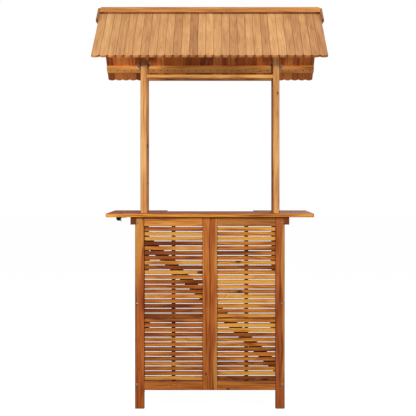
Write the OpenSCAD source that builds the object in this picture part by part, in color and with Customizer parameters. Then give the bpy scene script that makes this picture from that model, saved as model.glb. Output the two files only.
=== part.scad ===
// Outdoor bar table with a pitched slatted roof, in oiled hardwood.
// X runs along the counter, Y from the front (guest side, -Y) to the back,
// Z up. The origin is on the floor under the middle of the roof's ridge.

/* [Overall] */
// Height of the ridge above the floor
total_h = 2173; // [2120:1:2230]
// Depth of the roof from eave to eave
roof_depth = 1060; // [980:10:1140]
// Width of the slatted roof panels
panel_w = 1204; // [1100:2:1300]
// Height of the counter's top above the floor
counter_h = 1044; // [990:1:1090]

/* [Roof] */
// Slope of the front roof panel, which lies a little flatter than the back one
front_pitch = 29.3; // [27:0.1:31]
// Slope of the back roof panel
back_pitch = 32.3; // [31:0.1:34]
// Wanted distance from one roof slat to the next; a whole number of slats fills the panel
roof_slat_step = 41.4; // [38:0.2:46]
// Thickness of the roof slats
roof_slat_t = 12; // [10:0.5:15]
// Open joint between two roof slats
roof_slat_gap = 0.3; // [0.2:0.1:2]
// Bevel along the upper edges of the roof slats
roof_slat_edge = 0.8; // [0.5:0.1:2]
// How far the rounded end of a roof slat bulges
slat_end_bulge = 10; // [5:1:16]
// Width of the purlins that the roof slats are screwed to
purlin_w = 48; // [36:1:60]
// Thickness of the purlins
purlin_t = 20; // [16:1:26]
// Distance from the slat ends to the purlin at the eave
eave_purlin_inset = 99; // [70:1:130]
// Distance from the ridge to the nearest purlin
ridge_purlin_inset = 28; // [24:1:30]
// Depth of the rafters, square to the slope
rafter_h = 45; // [38:1:52]
// Thickness of the rafters
rafter_t = 18; // [15:1:24]
// Length of the rafters, measured down the slope
rafter_len = 390; // [350:5:420]
// Width of the two ridge boards
ridge_board_w = 50; // [40:1:60]
// Thickness of the ridge boards
ridge_board_t = 7; // [6:0.5:14]
// Air between the ridge boards and the slats, since only the gable plates carry the boards
ridge_air = 9; // [3:0.5:12]
// Radius of the ridge boards' corners at the ends of the ridge
ridge_corner_r = 10; // [5:1:14]
// Thickness of the plates that close the ends of the ridge
gable_plate_t = 12; // [8:1:16]
// Height of the plates that close the ends of the ridge
gable_plate_h = 93; // [80:1:115]
// Corner radius of those plates
gable_plate_r = 9; // [5:1:14]
// How far those plates stay below the top of the ridge boards
gable_plate_drop = 5; // [2:0.5:8]

/* [Posts] */
// Side of the square posts
post_w = 35; // [32:1:40]
// Distance between the middles of a front and a back post
post_depth = 180; // [170:1:190]
// Length of the posts below the counter boards
post_tail = 303; // [260:1:340]
// Height of the flat beams between the posts
beam_h = 18; // [15:1:24]
// Distance from the ridge down to those beams' underside
beam_drop = 398; // [370:1:430]
// Height of the posts' square tops above their upper bolts
post_top = 20; // [14:1:24]
// Height of the tie boards between a front and a back post
tie_h = 45; // [38:1:55]
// Thickness of the tie boards
tie_t = 18; // [15:1:24]
// Distance from the ridge down to the tie boards' underside
tie_drop = 336; // [320:1:352]
// How far a tie board runs past the posts
tie_overhang = 112; // [80:1:140]

/* [Counter] */
// Width of the counter
counter_w = 1110; // [1040:5:1180]
// Depth of the counter at its wings
counter_d = 650; // [590:1:680]
// Thickness of the counter boards
counter_t = 19; // [16:1:24]
// Overhang of the counter past the front of the cabinet
counter_overhang = 30; // [20:1:60]
// Number of board rows from front to back
counter_rows = 7; // [6:1:8]
// Number of those rows that the recess on the server's side takes away
recess_rows = 2; // [1:1:2]
// Width of that recess
recess_w = 500; // [420:5:560]
// Open joint between two counter boards
board_gap = 3; // [2:0.5:6]
// Radius of the counter's four outer corners
counter_corner_r = 12; // [6:1:20]
// Rounding of the boards' long edges
board_edge_r = 4; // [2:0.5:6]
// Width of the battens under the counter
batten_w = 24; // [18:1:30]
// Height of the battens under the counter
batten_h = 40; // [28:1:46]
// Distance from the counter's edges to the batten ends
batten_inset = 20; // [12:1:30]
// Width of the boards that stays free between the recess and the inner battens
recess_margin = 8; // [4:1:16]

/* [Cabinet] */
// Width of the cabinet
cab_w = 800; // [760:2:860]
// Depth of the cabinet
cab_d = 500; // [480:1:510]
// Distance of the cabinet's front face in front of the ridge
cab_setout = 186; // [180:1:196]
// Thickness of the front frame
frame_t = 25; // [22:1:30]
// Thickness of the side frames
side_t = 24; // [22:1:28]
// Width of the legs
leg_w = 50; // [44:1:52]
// Width of the two stiles in the middle of the front
stile_w = 40; // [34:1:46]
// Height of the top and bottom rails
rail_h = 49; // [42:1:56]
// Free height under the bottom rails
foot_gap = 100; // [84:1:116]
// Width of the grooves that hold the slats, beyond the slats' thickness
groove_clear = 0.4; // [0.2:0.1:0.8]
// Depth of those grooves
groove_d = 8; // [6:0.5:10]
// Rounding at the bottom of the legs
foot_r = 5; // [2:0.5:8]
// Bevel along the long edges of all frame timbers
edge = 1.6; // [0.8:0.2:2.6]

/* [Slats] */
// Height of the cabinet's slats
slat_h = 22; // [18:0.5:23]
// Thickness of the cabinet's slats
slat_t = 10; // [8:0.5:12]
// Smallest gap between the slats; as many slats as fit fill the frame evenly
slat_gap = 3.5; // [3:0.1:7]
// How far the slats sit back from the face of the frame
slat_recess = 5; // [3:0.5:6]
// Width of the upright battens behind the front slats
slat_batten_w = 21; // [18:1:28]
// Width of the diagonal brace
brace_w = 50; // [40:1:58]
// Thickness of the diagonal brace
brace_t = 15; // [12:1:18]
// Slope of the diagonal brace
brace_angle = 44.4; // [42:0.2:46]
// Height of the brace where it crosses the middle of the front
brace_mid_z = 567; // [553:1:583]

/* [Shelves] */
// Height of the middle shelf's top
mid_shelf_z = 481; // [440:1:520]
// Height of the bottom shelf's top
low_shelf_z = 130; // [124:1:148]
// Thickness of the shelf boards
shelf_t = 18; // [15:1:22]
// Depth of the shelves, which lie close behind the front
shelf_d = 190; // [150:2:240]
// Number of boards in a shelf
shelf_rows = 2; // [2:1:3]
// Open joint between two shelf boards
shelf_gap = 6; // [4:0.5:10]
// Width of the bearers under the middle shelf
mid_bearer_w = 46; // [40:1:50]
// Height of the bearers under the middle shelf
mid_bearer_h = 48; // [40:1:56]
// Width of the bearers under the bottom shelf
low_bearer_w = 20; // [16:1:26]
// Height of the bearers under the bottom shelf
low_bearer_h = 35; // [26:1:40]

/* [Hardware] */
// Diameter of all bolts
bolt_d = 6; // [5:0.5:8]
// Play of a bolt in its hole, on the diameter
bolt_clear = 0.4; // [0.2:0.1:0.8]
// Diameter of the low dome heads
head_d = 12; // [10.5:0.5:15]
// Height of the low dome heads
head_h = 3; // [2.5:0.5:4]
// Distance of the upper and lower leg bolts from the middle one
leg_bolt_step = 433; // [400:1:445]
// Height of the middle leg bolts
leg_bolt_mid_z = 563; // [533:1:578]
// Reach of a leg bolt behind the front frame
leg_bolt_reach = 30; // [26:1:36]
// Diameter of the barrel nuts
barrel_d = 10; // [9:0.5:12]
// Length of the barrel nuts
barrel_l = 18; // [14:1:19]
// Width across the flats of the hexagon nuts
nut_af = 10; // [9:0.5:13]
// Thickness of the hexagon nuts
nut_h = 5; // [4:0.5:6]
// Diameter of the washers under the nuts
washer_d = 16; // [15:1:20]
// Thickness of those washers
washer_t = 1.6; // [1:0.2:2.4]
// Thread that shows past the nuts
bolt_tail = 2; // [1:0.5:6]
// Outer width of the bottle opener's cup
opener_w = 26; // [22:1:30]
// Reach of the cup below the counter boards
opener_h = 19.5; // [17:0.5:24]
// Length of the bottle opener from front to back
opener_l = 32; // [24:1:40]
// Wall of the bottle opener
opener_t = 2.5; // [2:0.25:3]
// Width of the opener's screw flange beside the cup
opener_flange = 26; // [20:1:34]
// Length of the lip on the cup's lower edge
opener_lip = 8; // [6:0.5:10]
// Diameter of the opener's screw holes
opener_hole = 4.5; // [4:0.1:5]
// Distance of the cup's middle from the middle of the counter
opener_x = 487; // [460:1:500]
// Distance of the opener behind the counter's front edge
opener_inset = 20; // [12:1:40]

/* [Hidden] */
$fn = 48;
// Air left between two pieces that are slid together
clear = 0.3;
// Play of a bolt in its nut, on the diameter
thread_clear = 0.05;
// Extra length of a cutter past the faces that it opens
past = 1;

// Cabinet
front_y = -cab_setout;
frame_back_y = front_y + frame_t;
rear_y = front_y + cab_d;
side_x = cab_w / 2;
side_in_x = side_x - side_t;
under_z = counter_h - counter_t;
bay_z0 = foot_gap + rail_h;
bay_z1 = under_z - rail_h;
bay_h = bay_z1 - bay_z0;
slat_count = floor((bay_h - slat_gap) / (slat_h + slat_gap));
real_gap = (bay_h - slat_count * slat_h) / (slat_count + 1);
slat_step = slat_h + real_gap;
front_bay_w = side_x - leg_w - stile_w;
side_bay_d = rear_y - frame_back_y - 2 * leg_w;
side_bay_y = frame_back_y + leg_w;
tongue = groove_d - clear;
slat_edge = min(edge, slat_t / 4);

// Counter
counter_y = front_y - counter_overhang;
counter_step = (counter_d + board_gap) / counter_rows;
board_w = counter_step - board_gap;
recess_y = counter_y + (counter_rows - recess_rows) * counter_step - board_gap;

// Shelves
shelf_y = frame_back_y + brace_t + clear;
shelf_step = (shelf_d + shelf_gap) / shelf_rows;

// Posts
post_y = post_depth / 2;
post_x = side_in_x - post_w / 2;
post_foot_z = under_z - post_tail;
low_bolt_row = round((post_foot_z + post_w - bay_z0) / slat_step);
low_post_bolt_z = bay_z0 + real_gap + low_bolt_row * slat_step + slat_h / 2;
post_bolts_z = [under_z - rail_h / 2, low_post_bolt_z];
beam_z = total_h - beam_drop;
tie_z = total_h - tie_drop;
tie_bolt_z = tie_z + tie_h / 2;

// Roof. The slat tops of both slopes would meet in a line at slat_apex_z
slat_apex_z = total_h - (ridge_air + ridge_board_t) / cos(max(front_pitch, back_pitch));
roof_count = round(panel_w / roof_slat_step);
roof_step = panel_w / roof_count;
rafter_low = roof_slat_t + purlin_t + rafter_h;
rafter_mid = roof_slat_t + purlin_t + rafter_h / 2;

function pitch(back) = back ? back_pitch : front_pitch;
function slope_len(back) = roof_depth / 2 / cos(pitch(back));
// Height of the line that lies a depth below the slat tops, at a distance y from the ridge
function slope_z(back, depth, y) = slat_apex_z - depth / cos(pitch(back)) - y * tan(pitch(back));
function rafter_bolt_z(back) = slope_z(back, rafter_mid, post_y);
// Upper edge of each purlin, measured down the slope from the ridge
function purlin_places(back) =
    let (last = slope_len(back) - eave_purlin_inset - purlin_w)
    [ridge_purlin_inset, (ridge_purlin_inset + last) / 2, last];

// General shapes

// Cross-section of a timber with bevelled edges
module section(w, h, c) {
    polygon([
        [c, 0], [w - c, 0], [w, c], [w, h - c],
        [w - c, h], [c, h], [0, h - c], [0, c]
    ]);
}

// Timbers that run along X, Y and Z from the corner nearest the origin
module timber_x(l, d, h, c = edge) {
    rotate([90, 0, 90]) linear_extrude(l) section(d, h, c);
}
module timber_y(w, l, h, c = edge) {
    translate([0, l, 0]) rotate([90, 0, 0]) linear_extrude(l) section(w, h, c);
}
module timber_z(w, d, l, c = edge) {
    linear_extrude(l) section(w, d, c);
}

// Rectangle with round corners, from its corner nearest the origin
module round_rect(w, h, r) {
    translate([r, 0]) square([w - 2 * r, h]);
    translate([0, r]) square([w, h - 2 * r]);
    for (x = [r, w - r], y = [r, h - r]) translate([x, y]) circle(r);
}

// Outline with round corners of radius r about the listed centres, in anticlockwise order
module soft_outline(centres, r) {
    n = len(centres);
    function out(i) =
        let (d = centres[(i + 1) % n] - centres[i])
        r * [d[1], -d[0]] / norm(d);
    polygon([for (i = [0:n - 1]) each [centres[i] + out((i + n - 1) % n), centres[i] + out(i)]]);
    for (c = centres) translate(c) circle(r);
}

// The left-hand piece as drawn, or its mirror image on the right
module handed(right) {
    if (right) mirror([1, 0, 0]) children();
    else children();
}

// A drilled hole for a bolt along X through anything near the left-hand posts
module bolt_hole_x(y, z) {
    translate([-side_x - batten_w - past, y, z]) rotate([0, 90, 0])
        cylinder(h = batten_w + side_t + post_w + 2 * past, d = bolt_d + bolt_clear);
}

// Leg with a rounded foot. It stands in the corner nearest the origin, w wide and d deep
module leg(w, d) {
    intersection() {
        timber_z(w, d, under_z);
        translate([0, d, 0]) rotate([90, 0, 0]) linear_extrude(d)
            union() {
                translate([0, foot_r]) square([w, under_z]);
                translate([foot_r, 0]) square([w - 2 * foot_r, foot_r]);
                for (x = [foot_r, w - foot_r]) translate([x, foot_r]) circle(foot_r);
            }
        rotate([90, 0, 90]) linear_extrude(w)
            union() {
                translate([0, foot_r]) square([d, under_z]);
                translate([foot_r, 0]) square([d - 2 * foot_r, foot_r]);
                for (y = [foot_r, d - foot_r]) translate([y, foot_r]) circle(foot_r);
            }
    }
}

// Front of the cabinet

// Groove for the front slats and the rails' tongues, open at the top
module front_groove(x) {
    translate([x, front_y + slat_recess - groove_clear / 2, foot_gap])
        cube([groove_d, slat_t + groove_clear, under_z]);
}

// Holes in the front leg and the side leg behind it for the leg bolts
module leg_bolt_holes() {
    for (k = [-1:1])
        translate([-side_x + side_t / 2, front_y - past, leg_bolt_mid_z + k * leg_bolt_step])
            rotate([-90, 0, 0])
            cylinder(h = frame_t + leg_bolt_reach + 2 * past, d = bolt_d + bolt_clear);
}

module front_leg(right) {
    color("peru") handed(right) difference() {
        translate([-side_x, front_y, 0]) leg(leg_w, frame_t);
        front_groove(-side_x + leg_w - groove_d);
        leg_bolt_holes();
    }
}

module middle_stile(right) {
    color("sandybrown") handed(right) difference() {
        translate([-stile_w, front_y, foot_gap])
            timber_z(stile_w, frame_t, under_z - foot_gap);
        front_groove(-stile_w);
    }
}

// Rail between a leg and the middle stile, with a tongue at each end
module front_rail(right, z) {
    color("peru") handed(right) {
        translate([-side_x + leg_w, front_y, z]) timber_x(front_bay_w, frame_t, rail_h);
        translate([-side_x + leg_w - tongue, front_y + slat_recess, z + edge])
            cube([front_bay_w + 2 * tongue, slat_t, rail_h - 2 * edge]);
    }
}

module front_slats(right) {
    color("goldenrod") handed(right)
        for (i = [0:slat_count - 1])
            translate([-side_x + leg_w - tongue, front_y + slat_recess,
                       bay_z0 + real_gap + i * slat_step])
                timber_x(front_bay_w + 2 * tongue, slat_t, slat_h, slat_edge);
}

module slat_battens() {
    color("sienna") for (right = [false, true]) handed(right)
        translate([-side_x + leg_w + (front_bay_w - slat_batten_w) / 2,
                   front_y + slat_recess + slat_t, bay_z0])
            cube([slat_batten_w, frame_t - slat_recess - slat_t, bay_h]);
}

// One board across the back of the whole front, its ends cut upright beside the side frames
module diagonal_brace() {
    reach = side_in_x - clear;
    rise = reach * tan(brace_angle);
    half = brace_w / 2 / cos(brace_angle);
    color("goldenrod") translate([0, frame_back_y + brace_t, brace_mid_z])
        rotate([90, 0, 0]) linear_extrude(brace_t)
        polygon([[-reach, rise - half], [reach, -rise - half],
                 [reach, -rise + half], [-reach, rise + half]]);
}

// Sides of the cabinet, drawn on the left

// Groove for the side slats in a leg, open at the top
module side_groove(y) {
    translate([-side_x + slat_recess - groove_clear / 2, y, foot_gap])
        cube([slat_t + groove_clear, groove_d, under_z]);
}

// Leg at the front of a side frame, bolted behind the front leg
module side_front_leg(right) {
    color("chocolate") handed(right) difference() {
        translate([-side_x, frame_back_y, 0]) leg(side_t, leg_w);
        side_groove(frame_back_y + leg_w - groove_d);
        leg_bolt_holes();
        for (k = [-1:1])
            translate([-side_x + (side_t - barrel_l) / 2 - past,
                       frame_back_y + leg_bolt_reach - barrel_d / 2,
                       leg_bolt_mid_z + k * leg_bolt_step])
                rotate([0, 90, 0]) cylinder(h = side_t, d = barrel_d + groove_clear);
    }
}

module rear_leg(right) {
    color("chocolate") handed(right) difference() {
        translate([-side_x, rear_y - leg_w, 0]) leg(side_t, leg_w);
        side_groove(rear_y - leg_w);
    }
}

// Rail between the two legs of a side frame, with a tongue at each end
module side_rail(right, z, bolts_z) {
    color("chocolate") handed(right) difference() {
        union() {
            translate([-side_x, side_bay_y, z]) timber_y(side_t, side_bay_d, rail_h);
            translate([-side_x + slat_recess, side_bay_y - tongue, z + edge])
                cube([slat_t, side_bay_d + 2 * tongue, rail_h - 2 * edge]);
        }
        for (b = bolts_z, y = [-post_y, post_y]) bolt_hole_x(y, b);
    }
}

module side_slats(right) {
    color("goldenrod") handed(right)
        for (i = [0:slat_count - 1]) {
            z = bay_z0 + real_gap + i * slat_step;
            difference() {
                translate([-side_x + slat_recess, side_bay_y - tongue, z])
                    timber_y(slat_t, side_bay_d + 2 * tongue, slat_h, slat_edge);
                if (i == low_bolt_row)
                    for (y = [-post_y, post_y]) bolt_hole_x(y, low_post_bolt_z);
            }
        }
}

// Upright battens behind the side slats, where the posts are bolted on
module side_battens(right) {
    color("sienna") handed(right) for (y = [-post_y, post_y]) difference() {
        translate([-side_x + slat_recess + slat_t, y - post_w / 2, bay_z0])
            cube([side_t - slat_recess - slat_t, post_w, bay_h]);
        bolt_hole_x(y, low_post_bolt_z);
    }
}

// Shelves

module shelf_boards(z) {
    color("peru") for (i = [0:shelf_rows - 1])
        translate([-side_in_x + clear, shelf_y + i * shelf_step, z - shelf_t])
            timber_x(2 * (side_in_x - clear), shelf_step - shelf_gap, shelf_t);
}

module shelf_bearers(z, w, h) {
    color("sienna") for (right = [false, true]) handed(right)
        translate([-side_in_x, shelf_y, z - shelf_t - h])
            timber_y(w, shelf_d, h);
}

// Counter

// Row i of the counter, from x0 to x1, rounded to the counter's outline and cut for the posts
module counter_row(i, x0, x1) {
    difference() {
        intersection() {
            translate([x0, counter_y + i * counter_step, under_z])
                rotate([90, 0, 90]) linear_extrude(x1 - x0)
                round_rect(board_w, counter_t, board_edge_r);
            translate([-counter_w / 2, counter_y, under_z - past])
                linear_extrude(counter_t + 2 * past) round_rect(counter_w, counter_d, counter_corner_r);
        }
        for (x = [-post_x, post_x], y = [-post_y, post_y])
            translate([x - post_w / 2 - clear, y - post_w / 2 - clear, under_z - past])
                cube([post_w + 2 * clear, post_w + 2 * clear, counter_t + 2 * past]);
    }
}

module counter_front_board() {
    color("darkorange") counter_row(0, -counter_w / 2, counter_w / 2);
}

module counter_boards() {
    color("sienna") for (i = [1:counter_rows - recess_rows - 1])
        counter_row(i, -counter_w / 2, counter_w / 2);
}

// Short boards of a wing, beside the recess
module wing_boards(right) {
    color("sienna") handed(right) for (i = [counter_rows - recess_rows:counter_rows - 1])
        counter_row(i, -counter_w / 2, -recess_w / 2);
}

// Battens from y to the back of the counter, with their outer face at x
module counter_battens(x, y) {
    color("saddlebrown") for (right = [false, true]) handed(right) difference() {
        translate([-x, y, under_z - batten_h])
            timber_y(batten_w, counter_y + counter_d - batten_inset - y, batten_h);
        if (x > side_x)
            for (b = [-post_y, post_y]) bolt_hole_x(b, post_bolts_z[0]);
    }
}

// Posts, beams and ties

// Post between the counter's underside and the rafter that it is bolted to
module post(right, back) {
    y = back ? post_y : -post_y;
    top_z = rafter_bolt_z(back) + post_top;
    color("burlywood") handed(right) difference() {
        translate([-post_x - post_w / 2, y - post_w / 2, post_foot_z])
            timber_z(post_w, post_w, top_z - post_foot_z);
        for (z = concat(post_bolts_z, [tie_bolt_z, rafter_bolt_z(back)])) bolt_hole_x(y, z);
    }
}

module cross_beam(y) {
    color("wheat") translate([-post_x + post_w / 2, y - post_w / 2, beam_z])
        timber_x(2 * post_x - post_w, post_w, beam_h);
}

module tie_board(right) {
    reach = post_y + post_w / 2 + tie_overhang;
    color("rosybrown") handed(right) difference() {
        translate([-side_in_x - tie_t, -reach, tie_z]) timber_y(tie_t, 2 * reach, tie_h);
        for (y = [-post_y, post_y]) bolt_hole_x(y, tie_bolt_z);
    }
}

// Roof

// Places its children on a slope: Y runs down the slope from the ridge, and Z out of the roof
module on_slope(back) {
    if (back) translate([0, 0, slat_apex_z]) rotate([-back_pitch, 0, 0]) children();
    else mirror([0, 1, 0]) translate([0, 0, slat_apex_z]) rotate([-front_pitch, 0, 0]) children();
}

// Slat with bevelled upper edges and a round end. It lies on its side of the ridge plane
module roof_slat(back) {
    w = roof_step - roof_slat_gap;
    len = slope_len(back);
    end_r = (w * w / 4 + slat_end_bulge * slat_end_bulge) / (2 * slat_end_bulge);
    start = roof_slat_t * tan(pitch(back)) + clear;
    intersection() {
        translate([-w / 2, len, -roof_slat_t]) rotate([90, 0, 0]) linear_extrude(len - start)
            polygon([[0, 0], [w, 0], [w, roof_slat_t - roof_slat_edge], [w - roof_slat_edge, roof_slat_t],
                     [roof_slat_edge, roof_slat_t], [0, roof_slat_t - roof_slat_edge]]);
        union() {
            translate([-w, 0, -2 * roof_slat_t]) cube([2 * w, len - end_r, 4 * roof_slat_t]);
            translate([0, len - end_r, -2 * roof_slat_t]) cylinder(h = 4 * roof_slat_t, r = end_r);
        }
    }
}

module roof_slats(back) {
    color(back ? "sienna" : "tan") on_slope(back) for (i = [0:roof_count - 1])
        translate([(i + 0.5) * roof_step - panel_w / 2, 0, 0]) roof_slat(back);
}

module purlins(back) {
    color("goldenrod") on_slope(back) for (u = purlin_places(back))
        translate([-panel_w / 2, u, -roof_slat_t - purlin_t]) timber_x(panel_w, purlin_w, purlin_t);
}

// Rafter with an upright cut where it meets its twin at the ridge
module rafter(right, back) {
    top = roof_slat_t + purlin_t;
    t = tan(pitch(back));
    color("sienna") handed(right) difference() {
        on_slope(back) translate([-side_in_x - rafter_t, 0, 0])
            rotate([90, 0, 90]) linear_extrude(rafter_t)
            polygon([[top * t, -top], [rafter_low * t, -rafter_low],
                     [rafter_len - rafter_h / 2, -rafter_low],
                     [rafter_len, -rafter_mid], [rafter_len, -top]]);
        bolt_hole_x(back ? post_y : -post_y, rafter_bolt_z(back));
    }
}

// Board over the slats beside the ridge, cut upright where it meets its twin, with round end corners
module ridge_board(back) {
    t = tan(pitch(back));
    r = ridge_corner_r;
    low = ridge_air;
    high = ridge_air + ridge_board_t;
    color("orange") on_slope(back) difference() {
        translate([-panel_w / 2, 0, 0]) rotate([90, 0, 90]) linear_extrude(panel_w)
            polygon([[-low * t, low], [ridge_board_w - edge, low], [ridge_board_w, low + edge],
                     [ridge_board_w, high - edge], [ridge_board_w - edge, high], [-high * t, high]]);
        for (right = [false, true]) handed(right)
            translate([-panel_w / 2, -high * t, 0]) linear_extrude(2 * high)
            difference() {
                translate([-past, -past]) square(r + past);
                translate([r, r]) circle(r);
            }
    }
}

// Plate with round corners on the end of the ridge, just below the top of the ridge boards
module gable_plate(right) {
    r = gable_plate_r;
    apex_z = total_h - gable_plate_drop;
    function corner_y(p) = (gable_plate_h - r - r / cos(p)) / tan(p);
    top_r_z = apex_z - r / cos(max(front_pitch, back_pitch));
    low_z = apex_z - gable_plate_h + r;
    color("brown") handed(right) translate([-panel_w / 2 - gable_plate_t, 0, 0])
        rotate([90, 0, 90]) linear_extrude(gable_plate_t)
        soft_outline([[-corner_y(front_pitch), low_z], [corner_y(back_pitch), low_z], [0, top_r_z]], r);
}

// Hardware

// Bolt along +Z with its dome head below the origin and a hexagon socket in the head
module dome_bolt(l) {
    difference() {
        rotate_extrude() polygon([
            [0, -head_h], [head_d * 0.25, -head_h], [head_d * 0.42, -head_h * 0.7],
            [head_d / 2, -head_h * 0.2], [head_d / 2, 0], [bolt_d / 2, 0],
            [bolt_d / 2, l], [0, l]
        ]);
        translate([0, 0, -head_h - past]) cylinder(h = head_h, d = bolt_d * 0.75, $fn = 6);
    }
}

module leg_bolts() {
    color("silver") for (right = [false, true], k = [-1:1]) handed(right)
        translate([-side_x + side_t / 2, front_y, leg_bolt_mid_z + k * leg_bolt_step])
            rotate([-90, 0, 0]) dome_bolt(frame_t + leg_bolt_reach);
}

// Cross nuts in the side legs that the leg bolts screw into
module barrel_nuts() {
    color("gray") for (right = [false, true], k = [-1:1]) handed(right)
        translate([-side_x + side_t / 2, frame_back_y + leg_bolt_reach - barrel_d / 2,
                   leg_bolt_mid_z + k * leg_bolt_step])
            difference() {
                translate([-barrel_l / 2, 0, 0]) rotate([0, 90, 0]) cylinder(h = barrel_l, d = barrel_d);
                rotate([90, 0, 0]) cylinder(h = 2 * barrel_d, d = bolt_d + thread_clear, center = true);
            }
}

// Bolts that hold the posts in the cabinet. The upper ones also hold the outer battens
module post_bolts() {
    color("silver") for (right = [false, true], y = [-post_y, post_y], z = post_bolts_z)
        handed(right) {
            head_x = z == low_post_bolt_z ? side_x - slat_recess : side_x + batten_w;
            translate([-head_x, y, z]) rotate([0, 90, 0])
                dome_bolt(head_x - side_in_x + post_w + washer_t + nut_h + bolt_tail);
        }
}

// Bolts that hold the ties and the rafters on the posts
module roof_bolts() {
    color("silver") for (right = [false, true], back = [false, true]) handed(right)
        for (p = [[tie_t, tie_bolt_z], [rafter_t, rafter_bolt_z(back)]])
            translate([-side_in_x - p[0], back ? post_y : -post_y, p[1]]) rotate([0, 90, 0])
                dome_bolt(p[0] + post_w + washer_t + nut_h + bolt_tail);
}

// Washer and hexagon nut on the inner face of each post, one of each for every bolt
module bolt_nuts() {
    color("gray") for (right = [false, true], back = [false, true]) handed(right)
        for (z = concat(post_bolts_z, [tie_bolt_z, rafter_bolt_z(back)]))
            translate([-side_in_x + post_w, back ? post_y : -post_y, z]) rotate([0, 90, 0])
                difference() {
                    union() {
                        cylinder(h = washer_t, d = washer_d);
                        cylinder(h = washer_t + nut_h, d = nut_af / cos(30), $fn = 6);
                    }
                    translate([0, 0, -past])
                        cylinder(h = nut_h + washer_t + 2 * past, d = bolt_d + thread_clear);
                }
}

// Opener under the left wing: a cup with a lip that bends down, and a flange for two screws
module bottle_opener() {
    r = opener_w / 2;
    cup_z = under_z - opener_h + r;
    y0 = counter_y + opener_inset;
    color("black") difference() {
        translate([-opener_x, y0 + opener_l, 0]) rotate([90, 0, 0]) linear_extrude(opener_l)
            union() {
                translate([-r, under_z - opener_t])
                    square([opener_w + opener_flange, opener_t]);
                difference() {
                    union() {
                        intersection() {
                            translate([0, cup_z]) circle(r);
                            translate([-r, cup_z - r]) square([opener_w, r]);
                        }
                        translate([-r, cup_z]) square([opener_w, under_z - cup_z]);
                    }
                    translate([0, cup_z]) circle(r - opener_t);
                    translate([-r + opener_t, cup_z])
                        square([opener_w - 2 * opener_t, under_z - cup_z - opener_t]);
                }
                translate([r * cos(45), cup_z - r * sin(45)]) rotate(-45)
                    translate([-opener_t / 2, -opener_t]) square([opener_lip + opener_t / 2, opener_t]);
            }
        for (y = [opener_l * 0.25, opener_l * 0.75])
            translate([-opener_x + r + opener_flange / 2, y0 + y, under_z - opener_t - past])
                cylinder(h = opener_t + 2 * past, d = opener_hole);
    }
}

front_leg(false);  // front_leg_left
front_leg(true);  // front_leg_right
middle_stile(false);  // middle_stile_left
middle_stile(true);  // middle_stile_right
front_rail(false, bay_z1);  // front_top_rail_left
front_rail(true, bay_z1);  // front_top_rail_right
front_rail(false, foot_gap);  // front_bottom_rail_left
front_rail(true, foot_gap);  // front_bottom_rail_right
front_slats(false);  // front_slats_left
front_slats(true);  // front_slats_right
slat_battens();
diagonal_brace();
side_front_leg(false);  // side_front_leg_left
side_front_leg(true);  // side_front_leg_right
rear_leg(false);  // rear_leg_left
rear_leg(true);  // rear_leg_right
side_rail(false, bay_z1, [post_bolts_z[0]]);  // side_top_rail_left
side_rail(true, bay_z1, [post_bolts_z[0]]);  // side_top_rail_right
side_rail(false, foot_gap, []);  // side_bottom_rail_left
side_rail(true, foot_gap, []);  // side_bottom_rail_right
side_slats(false);  // side_slats_left
side_slats(true);  // side_slats_right
side_battens(false);  // side_battens_left
side_battens(true);  // side_battens_right
shelf_boards(mid_shelf_z);  // mid_shelf_boards
shelf_boards(low_shelf_z);  // bottom_shelf_boards
shelf_bearers(mid_shelf_z, mid_bearer_w, mid_bearer_h);  // mid_shelf_bearers
shelf_bearers(low_shelf_z, low_bearer_w, low_bearer_h);  // bottom_shelf_bearers
counter_front_board();
counter_boards();
wing_boards(false);  // wing_boards_left
wing_boards(true);  // wing_boards_right
counter_battens(side_x + batten_w, counter_y + batten_inset);  // counter_outer_battens
counter_battens(recess_w / 2 + recess_margin + batten_w, frame_back_y);  // counter_inner_battens
post(false, false);  // post_front_left
post(true, false);  // post_front_right
post(false, true);  // post_rear_left
post(true, true);  // post_rear_right
cross_beam(-post_y);  // front_beam
cross_beam(post_y);  // rear_beam
tie_board(false);  // tie_board_left
tie_board(true);  // tie_board_right
rafter(false, false);  // rafter_front_left
rafter(true, false);  // rafter_front_right
rafter(false, true);  // rafter_back_left
rafter(true, true);  // rafter_back_right
purlins(false);  // front_purlins
purlins(true);  // back_purlins
roof_slats(false);  // front_roof_slats
roof_slats(true);  // back_roof_slats
ridge_board(false);  // ridge_board_front
ridge_board(true);  // ridge_board_back
gable_plate(false);  // gable_plate_left
gable_plate(true);  // gable_plate_right
leg_bolts();
barrel_nuts();
post_bolts();
roof_bolts();
bolt_nuts();
bottle_opener();
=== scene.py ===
"""Outdoor bar table with a pitched slat roof, in oiled acacia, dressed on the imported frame."""
import math

import bmesh
import bpy
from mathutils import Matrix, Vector


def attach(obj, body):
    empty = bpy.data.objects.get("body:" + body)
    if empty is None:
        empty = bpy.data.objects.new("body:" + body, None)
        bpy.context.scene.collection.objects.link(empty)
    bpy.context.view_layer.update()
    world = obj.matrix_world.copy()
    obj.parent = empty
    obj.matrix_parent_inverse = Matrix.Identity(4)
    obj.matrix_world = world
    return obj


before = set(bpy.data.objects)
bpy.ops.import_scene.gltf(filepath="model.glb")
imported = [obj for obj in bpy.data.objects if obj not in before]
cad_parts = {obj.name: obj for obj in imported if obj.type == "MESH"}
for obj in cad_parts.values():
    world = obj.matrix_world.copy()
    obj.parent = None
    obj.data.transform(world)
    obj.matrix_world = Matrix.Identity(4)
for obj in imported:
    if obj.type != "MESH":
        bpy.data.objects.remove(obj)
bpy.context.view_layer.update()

scene = bpy.context.scene
X, Y, Z = 0, 1, 2

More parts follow.
